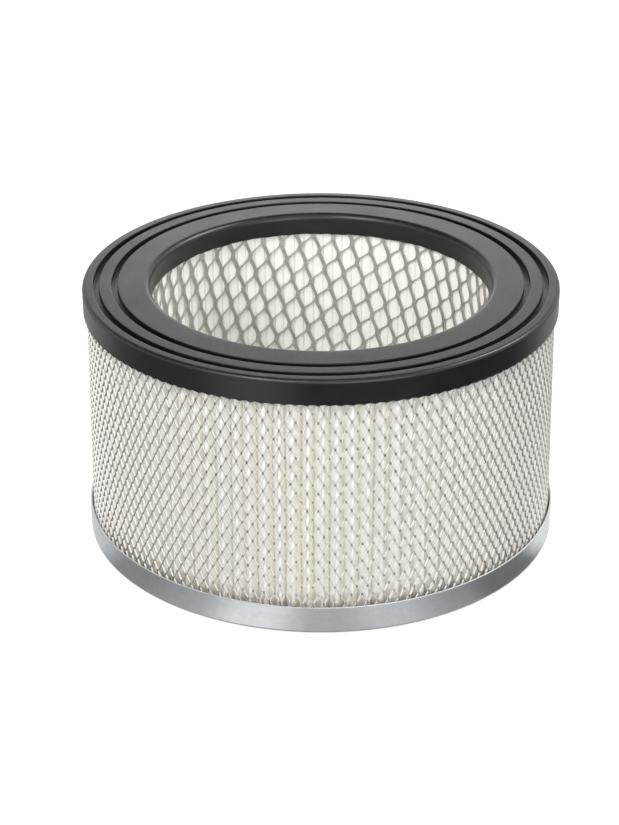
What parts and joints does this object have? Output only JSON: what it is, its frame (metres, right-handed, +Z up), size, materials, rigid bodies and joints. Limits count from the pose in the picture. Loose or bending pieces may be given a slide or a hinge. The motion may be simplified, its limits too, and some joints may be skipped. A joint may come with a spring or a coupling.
{
  "type": "vacuum cartridge filter",
  "caption": "Round cartridge air filter for a vacuum cleaner: pleated paper held between expanded-metal cylinders, with a grooved rubber seal cap and a shallow sheet-steel base pan.",
  "frame": {"origin": "centre of the pan's underside, on the plane that the filter stands on", "axes": "+Z up along the cartridge's axis, out of the open bore; X and Y are free, because the filter is round"},
  "size_m": [0.1626, 0.1626, 0.0895],
  "materials": {
    "seal_rubber": "satin moulded",
    "guard_steel": "bright zinc",
    "filter_paper": "matte",
    "core_steel": "dull zinc",
    "pan_steel": "galvanised",
    "potting": "cast adhesive"
  },
  "bodies": {
    "root": {"top_seal_cap": "seal_rubber", "outer_guard": "guard_steel", "pleated_media": "filter_paper", "inner_core": "core_steel", "bottom_pan": "pan_steel", "bottom_potting": "potting"}
  },
  "joints": []
}
